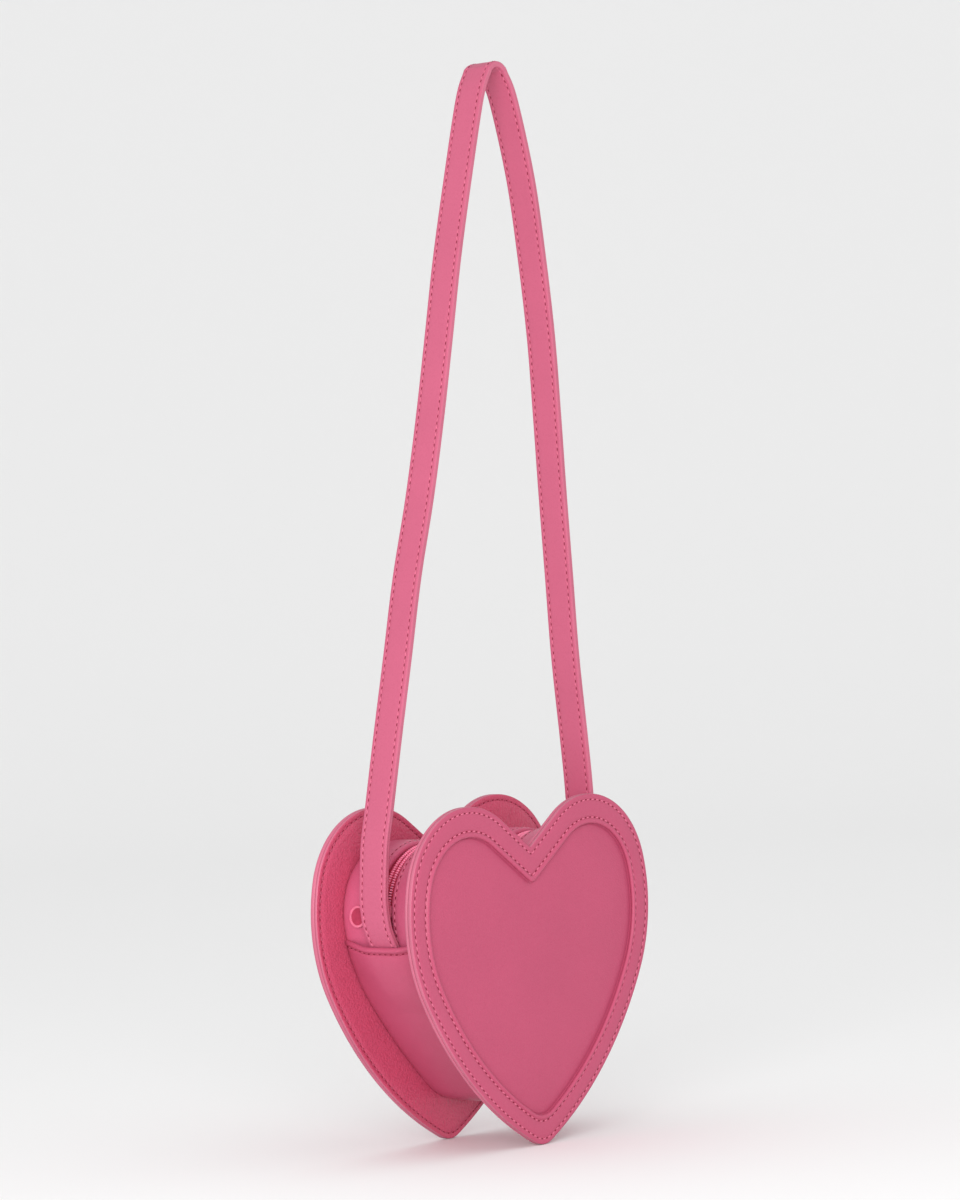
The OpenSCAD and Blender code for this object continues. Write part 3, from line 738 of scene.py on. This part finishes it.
class PURSE_OT_lower_gusset(bpy.types.Operator):
    """Lower gusset band with its two hems"""
    bl_idname = "purse.lower_gusset"
    bl_label = "Lower gusset"

    def execute(self, context):
        edge = np.array([23, 24.6, 25.6, 26.2, 26.5])
        across = np.concatenate([-edge[::-1], np.linspace(-21, 21, 35), edge])
        lip = [(0, 0.15), (0.1, 0.5), (0.3, 0.82), (0.6, 1.0)]
        near = np.arange(0.85, 6.0, 0.2)
        inner = np.concatenate([HEM_S + near, np.linspace(HEM_S + 6.2, END_S - 6.2, 180),
                                END_S - near[::-1]])
        stations = ([(HEM_S + d, k) for d, k in lip] + [(s, 1.0) for s in inner]
                    + [(END_S - d, k) for d, k in reversed(lip)])
        rows = []
        for s, thickness in stations:
            middle = lower_out(context, s, across) - GUSSET_T / 2
            half = thickness * GUSSET_T / 2
            rows.append(np.concatenate([hem_point(s, across, middle + half),
                                        hem_point(s, across, middle - half)[::-1]]))
        band = lofted("gusset_lower_skin", rows, [finishes(context)["gusset"]])
        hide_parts("lower_gusset")
        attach(band, "bag")
        seam_half, seam_sunk = 24.6, 0.72
        y = np.linspace(-seam_half, seam_half, 90)
        lines, outs = [], []
        for s in (HEM_S + HEM_SEAM, END_S - HEM_SEAM):
            out = lower_out(context, s, y) + GUSSET_T / 2 - seam_sunk
            lines.append(hem_point(s, y, out))
            n = BOTTOM.at(s)[1]
            outs.append((n[0], 0, n[1]))
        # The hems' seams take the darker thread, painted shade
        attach(sewn(context, "stitches_hems", lines, outs, "thread_painted_shade"), "bag")
        return {"FINISHED"}


# Sections across the gusset: (distance from the zip's middle, height over the outline)
STRIP_SECTION = [
    (4.2, -1.6), (4.28, -1.0), (4.6, -0.45), (5.2, -0.12), (5.9, -0.04), (6.3, -0.1),
    (6.55, -0.26), (6.8, -0.1), (7.2, 0.02), (9, 0.1), (12, 0.16), (16, 0.18),
    (19, 0.1), (22, -0.15), (24, -0.6), (25.2, -1.1), (25.9, -1.7), (26.3, -2.6),
    (26.5, -3.5), (25.9, -3.5), (24, -2.4), (18, -1.6), (10.6, -1.6), (10.4, -3.1),
    (5.2, -3.1), (4.4, -2.7)]
TAPE_SECTION = [(0.6, -3.75), (0.6, -3.3), (0.9, -3.2), (12, -3.2), (12, -3.8), (0.9, -3.8)]
SEAM_Y, SEAM_OUT = 6.55, -0.14


def gusset_run(name, node, side, section, stations, material):
    """A strip or tape of one section along the top line; side is -1 in front, 1 behind."""
    y = side * np.array([p[0] for p in section])
    out = np.array([p[1] for p in section])
    run = lofted(name, [TOP.section(s, y, out) for s in stations], [material])
    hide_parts(node)
    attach(run, "bag")


class PURSE_OT_zip_strips(bpy.types.Operator):
    """Strips of gusset leather on both sides of the zip, with folded edges"""
    bl_idname = "purse.zip_strips"
    bl_label = "Zip strips"

    def execute(self, context):
        stations = np.linspace(*ways_at_height(LAP_Z), 260)
        for side, name, node in ((-1, "zip_strip_front_skin", "zip_strip_front"),
                                 (1, "zip_strip_back_skin", "zip_strip_back")):
            # The strips take the lighter copy of the gusset leather, painted light
            gusset_run(name, node, side, STRIP_SECTION, stations,
                       finishes(context)["strip"])
        a, b = ways_at_height(HEM_Z)
        s = np.linspace(a + 1, b - 1, 300)
        outs = [upright(TOP.at(s)[1], 0)] * 2
        lines = [TOP.point(s, side * SEAM_Y, np.full(len(s), SEAM_OUT)) for side in (-1, 1)]
        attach(sewn(context, "stitches_zip", lines, outs, "thread"), "bag")
        return {"FINISHED"}


class PURSE_OT_zip(bpy.types.Operator):
    """Zip tapes, rows of teeth and end stops"""
    bl_idname = "purse.zip"
    bl_label = "Zip"

    def execute(self, context):
        f = finishes(context)
        stations = np.linspace(*ways_at_height(HEM_Z - HEM_LAP / 2), 240)
        for side, name, node in ((-1, "zip_tape_front_weave", "zip_tape_front"),
                                 (1, "zip_tape_back_weave", "zip_tape_back")):
            gusset_run(name, node, side, TAPE_SECTION, stations, f["tape"])
        stops_top = (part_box("zip_stops")[1][2] - HANG[2]) / MM
        first, last = ways_at_height(stops_top, HEM_Z + 1.8)
        pitch, tooth = 1.35, (1.7, 0.95, 1.45)
        tooth_y, tooth_out = 1.4, -2.1
        for side, name, node in ((-1, "zip_teeth_front", "zip_coil_front"),
                                 (1, "zip_teeth_back", "zip_coil_back")):
            count = int((last - first) / pitch)
            s = first + (np.arange(count) + (0.5 if side > 0 else 0.0) + 0.4) * pitch
            s = s[s < last]
            centre = TOP.point(s, side * tooth_y, np.full(len(s), tooth_out))
            along = np.broadcast_to([0.0, 1.0, 0.0], centre.shape)
            points, faces = bead_arrays(centre, along, upright(TOP.at(s)[1], 0), *tooth)
            teeth = mesh_object(name, placed(points), faces, [f["coil"]])
            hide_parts(node)
            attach(teeth, "bag")
        give("zip_stops", f["enamel"])
        return {"FINISHED"}


LINING_T, WALL_IN, WALL_Y = 0.6, 4.5, 26.45
BAND_OUT, BAND_Y, ZIP_Y = -3.9, 25.8, 6.0


class PURSE_OT_lining(bpy.types.Operator):
    """Lining: two heart shaped walls and the band between them"""
    bl_idname = "purse.lining"
    bl_label = "Lining"

    def execute(self, context):
        cloth = finishes(context)["lining"]
        outline = np.concatenate([HALF_P, HALF_P[-2:0:-1] * FLIP])
        normal = np.concatenate([HALF_N, HALF_N[-2:0:-1] * FLIP])
        wall = outline - WALL_IN * normal
        x, z = wall[:, 0], wall[:, 1]
        area = abs(np.sum(x * np.roll(z, -1) - np.roll(x, -1) * z)) / 2
        for side, name, node, board in (
                (-1, "lining_front_wall", "lining_front", "front_board"),
                (1, "lining_rear_wall", "lining_rear", "back_board")):
            rows = [upright(wall, side * WALL_Y), upright(wall, side * (WALL_Y - LINING_T))]
            sheet = lofted(name, rows, [cloth])
            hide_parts(node)
            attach(sheet, "bag")
        # The band in one run: full depth below the hems, two flanges beside the zip above
        a, b = ways_at_height(HEM_Z)
        outs = np.array([BAND_OUT, BAND_OUT, BAND_OUT - LINING_T, BAND_OUT - LINING_T])
        vertices, faces, area = [], [], 0.0
        for low, high, start, end, line in (
                (-BAND_Y, -ZIP_Y, a, b, TOP), (ZIP_Y, BAND_Y, a, b, TOP),
                (-BAND_Y, BAND_Y, HEM_S, END_S, BOTTOM)):
            stations = np.linspace(start, end, 160)
            faces += tube_faces(len(stations), 4, first=len(vertices))
            for s in stations:
                vertices.extend(line.section(s, np.array([low, high, high, low]), outs))
            middle = line.point(stations, (low + high) / 2,
                                np.full(len(stations), BAND_OUT - LINING_T / 2))
            area += (high - low) * ways(middle)[-1]
        band = mesh_object("lining_band", placed(np.array(vertices)), faces, [cloth])
        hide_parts("lining_gusset")
        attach(band, "bag")
        return {"FINISHED"}


def smooth_line(p, n):
    """A smooth line through points."""
    out = []
    for i in range(len(p) - 1):
        a, b, c, d = p[max(i - 1, 0)], p[i], p[i + 1], p[min(i + 2, len(p) - 1)]
        for j in range(n):
            t = j / n
            out.append(b + t / 2 * (c - a) + t * t * (a - 2.5 * b + 2 * c - d / 2)
                       + t ** 3 * (1.5 * (b - c) + (d - a) / 2))
    out.append(p[-1])
    return np.array(out)


def strap_path():
    """The strap's middle line in X and Z, and its outward normals."""
    start_x = GUSSET_C[0] + GUSSET_R + STRAP_OUT
    radius = GUSSET_SIDE_R + STRAP_GAP + STRAP_T / 2

    def tongue(side):
        p = GUSSET_SIDE_C + radius * direction(np.linspace(TONGUE_ANGLE, TONGUE_TOP, 3))
        return p * [side, 1]

    def route(shares, side):
        return np.array([[side * start_x + t * (STRAP_LEAN - side * start_x),
                          HEM_Z + s * STRAP_RISE] for s, t in shares])

    top_c = np.array([STRAP_LEAN, HEM_Z + STRAP_RISE - STRAP_TOP_R])
    points = np.concatenate([
        tongue(-1), route(LEFT_SHARES, -1),
        top_c + STRAP_TOP_R * direction(np.linspace(TOP_FROM, TOP_TO, 7)),
        route(RIGHT_SHARES, 1)[::-1], tongue(1)[::-1]])
    line = smooth_line(points, 8)
    d = np.gradient(line, axis=0)
    d /= np.linalg.norm(d, axis=1, keepdims=True)
    return line, np.stack([-d[:, 1], d[:, 0]], -1)


# The strap's outer face from its edge to the middle, with the seam's groove, and its edge
STRAP_FACE = [(-7.86, 1.1), (-7.6, 1.38), (-7.1, 1.48), (-6.3, 1.46), (-6.1, 1.36),
              (-5.9, 1.27), (-5.7, 1.36), (-5.45, 1.47), (-4, 1.53), (0, 1.56)]
STRAP_EDGE = [(8.0, 0.75), (8.0, 0.3), (7.82, 0.0), (8.0, -0.3), (8.0, -0.75)]
STRAP_SEAM_Y, STRAP_SEAM_OUT = 5.9, 1.33


class PURSE_OT_strap(bpy.types.Operator):
    """Strap with its painted edges and two rows of stitches on each face"""
    bl_idname = "purse.strap"
    bl_label = "Strap"

    def execute(self, context):
        f = finishes(context)
        line, normal = strap_path()
        top = STRAP_FACE + [(-w, t) for w, t in reversed(STRAP_FACE[:-1])]
        half = top + STRAP_EDGE
        section = np.array(half + [(-w, -t) for w, t in half])
        rows = []
        for p, n in zip(line, normal):
            q = p + section[:, 1:2] * n
            rows.append(np.stack([q[:, 0], section[:, 0], q[:, 1]], -1))
        strap = lofted("strap_leather_band", rows, [f["strap"], f["edge"]])
        count = len(section)
        for poly in list(strap.data.polygons)[:(len(rows) - 1) * count]:
            if poly.index % len(half) >= len(top) - 1:
                poly.material_index = 1
        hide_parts("strap_outer_layer", "strap_core", "strap_inner_layer",
                    "strap_leg_left", "strap_leg_right")
        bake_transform(strap)
        shown = line[:, 1] > HEM_Z - 1.5
        path, out = line[shown], normal[shown]
        lines, outs = [], []
        for w in (-STRAP_SEAM_Y, STRAP_SEAM_Y):
            for side in (-1, 1):
                lines.append(upright(path + side * STRAP_SEAM_OUT * out, w))
                outs.append(side * upright(out, 0))
        stitches = sewn(context, "stitches_strap", lines, outs, "thread")
        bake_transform(stitches)
        return {"FINISHED"}


def rounded_copy(node, name, material, width):
    """A solid's copy with its sharp edges rounded."""
    mesh = frame["nodes"][node].data.copy()
    mesh.name = name
    work = bmesh.new()
    work.from_mesh(mesh)
    bmesh.ops.remove_doubles(work, verts=work.verts, dist=1e-6)
    bmesh.ops.dissolve_limit(work, angle_limit=math.radians(2), verts=work.verts,
                             edges=work.edges)
    for face in work.faces:
        face.smooth = True
        face.material_index = 0
    work.to_mesh(mesh)
    work.free()
    mesh.materials.clear()
    mesh.materials.append(material)
    piece = linked(bpy.data.objects.new(name, mesh))
    bevel = piece.modifiers.new("rounding", "BEVEL")
    bevel.width = width * MM
    bevel.segments = 3
    bevel.limit_method = "ANGLE"
    bevel.angle_limit = math.radians(35)
    bevel.harden_normals = True
    return piece


def paint_sunk_face_shade(piece, material):
    """Paints shade on the pull's sunk round face: a darker enamel on the largest flat faces."""
    piece.data.materials.append(material)
    largest = max(p.area for p in piece.data.polygons)
    for p in piece.data.polygons:
        if p.area > largest * 0.55:
            p.material_index = 1


class PURSE_OT_slider(bpy.types.Operator):
    """Slider, link and round pull in enamelled metal"""
    bl_idname = "purse.slider"
    bl_label = "Slider and pull"

    def execute(self, context):
        f = finishes(context)
        for node, name, width, body in (
                ("zip_slider", "slider_enamel", 0.16, "slider"),
                ("pull_link", "link_enamel", 0.14, "link"),
                ("pull_tab", "pull_enamel", 0.16, "pull")):
            piece = rounded_copy(node, name, f["enamel"], width)
            if body == "pull":
                # The pull's sunk face takes the darker enamel, painted shade
                paint_sunk_face_shade(piece, f["enamel_painted_shade"])
            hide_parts(node)
            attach(piece, body)
        return {"FINISHED"}


# The camera as it was fitted to the photograph: turn, rise and roll in degrees, place in mm
CAMERA_TURN = (50.342, -0.270, -2.749)
CAMERA_PLACE = (-1534.44, -1278.91, 145.70)
LENS, SENSOR = 127.6, 36


class PURSE_OT_stage(bpy.types.Operator):
    """Pale floor that curves up behind, one soft key light and the camera"""
    bl_idname = "purse.stage"
    bl_label = "Stage"

    def execute(self, context):
        self.backdrop()
        self.lights(context)
        self.camera(context)
        return {"FINISHED"}

    def backdrop(self):
        floor_z = CAD_BOX[0][2] - 0.0002
        facing_turn = math.radians(50.3)
        toward = Vector((math.sin(facing_turn), math.cos(facing_turn), 0))
        side = Vector((toward.y, -toward.x, 0))
        near, far, curve, half_width = -4.0, 2.2, 1.8, 6
        profile = [(near, 0.0), (far, 0.0)]
        for i in range(1, 17):
            a = math.radians(90 * i / 16)
            profile.append((far + curve * math.sin(a), curve * (1 - math.cos(a))))
        profile.append((far + curve, 6.0))
        vertices = []
        for w in (-half_width, half_width):
            for d, h in profile:
                p = toward * d + side * w
                vertices.append((p.x, p.y, floor_z + h))
        n = len(profile)
        faces = [(i, i + 1, n + i + 1, n + i) for i in range(n - 1)]
        paper = Finish("backdrop_paper")
        cloud = paper.add("TexNoise", Scale=3.0)
        paper.link(paper.tone((1, 1, 1), 0.89, 0.91, cloud.outputs["Fac"]),
                   paper.shader.inputs["Base Color"])
        paper.set(Roughness=0.95)
        mesh_object("backdrop", vertices, faces, [paper.material])

    def lights(self, context):
        scene = context.scene
        scene.view_settings.view_transform = "Standard"
        if scene.world is None:
            scene.world = bpy.data.worlds.new("studio")
        scene.world.use_nodes = True
        sky = next(n for n in scene.world.node_tree.nodes if n.type == "BACKGROUND")
        sky.inputs["Color"].default_value = (1, 1, 1, 1)
        sky.inputs["Strength"].default_value = 0.89
        lamp = bpy.data.lights.new("key", "AREA")
        lamp.shape = "RECTANGLE"
        lamp.size, lamp.size_y = 1.1, 0.6
        lamp.energy = 20.2
        key = linked(bpy.data.objects.new("key", lamp))
        centre = Vector(placed([-10, 0, -30]))
        key.location = centre + Vector((-1.35, -0.95, 0.32))
        key.rotation_mode = "QUATERNION"
        key.rotation_quaternion = (centre - key.location).to_track_quat("-Z", "Y")

    def camera(self, context):
        az, el, roll = (math.radians(a) for a in CAMERA_TURN)
        look = np.array([math.sin(az) * math.cos(el), math.cos(az) * math.cos(el), math.sin(el)])
        right = np.array([math.cos(az), -math.sin(az), 0])
        up = np.cross(right, look)
        x = right * math.cos(roll) + up * math.sin(roll)
        y = -right * math.sin(roll) + up * math.cos(roll)
        camera = bpy.data.cameras.new("camera")
        camera.lens = LENS
        camera.sensor_width = SENSOR
        camera.clip_start, camera.clip_end = 0.05, 50
        view = linked(bpy.data.objects.new("camera", camera))
        place = placed(CAMERA_PLACE)
        view.matrix_world = Matrix([[x[i], y[i], -look[i], place[i]] for i in range(3)]
                                   + [[0, 0, 0, 1]])
        context.scene.camera = view


class PURSE_PT_panel(bpy.types.Panel):
    """Colours, sizes and pieces of the purse"""
    bl_label = "Heart Purse"
    bl_idname = "PURSE_PT_panel"
    bl_space_type = "VIEW_3D"
    bl_region_type = "UI"
    bl_category = "Heart Purse"

    def draw(self, context):
        layout = self.layout
        for group in (context.scene.purse_colours, context.scene.purse_sizes):
            box = layout.box()
            for key in group.__annotations__:
                box.prop(group, key)
        for operator in OPERATORS:
            layout.operator(operator.bl_idname)


OPERATORS = (
    PURSE_OT_front_panel, PURSE_OT_back_panel, PURSE_OT_panel_stitches,
    PURSE_OT_lower_gusset, PURSE_OT_zip_strips, PURSE_OT_zip, PURSE_OT_lining,
    PURSE_OT_strap, PURSE_OT_slider, PURSE_OT_stage,
)
CLASSES = (PurseColours, PurseSizes, *OPERATORS, PURSE_PT_panel)


def register():
    for c in CLASSES:
        bpy.utils.register_class(c)
    bpy.types.Scene.purse_colours = bpy.props.PointerProperty(type=PurseColours)
    bpy.types.Scene.purse_sizes = bpy.props.PointerProperty(type=PurseSizes)


def unregister():
    del bpy.types.Scene.purse_colours
    del bpy.types.Scene.purse_sizes
    for c in reversed(CLASSES):
        bpy.utils.unregister_class(c)


def main():
    register()
    bpy.ops.purse.front_panel()
    bpy.ops.purse.back_panel()
    bpy.ops.purse.panel_stitches()
    bpy.ops.purse.lower_gusset()
    bpy.ops.purse.zip_strips()
    bpy.ops.purse.zip()
    bpy.ops.purse.lining()
    bpy.ops.purse.strap()
    bpy.ops.purse.slider()
    bpy.ops.purse.stage()


if __name__ == "__main__":
    main()
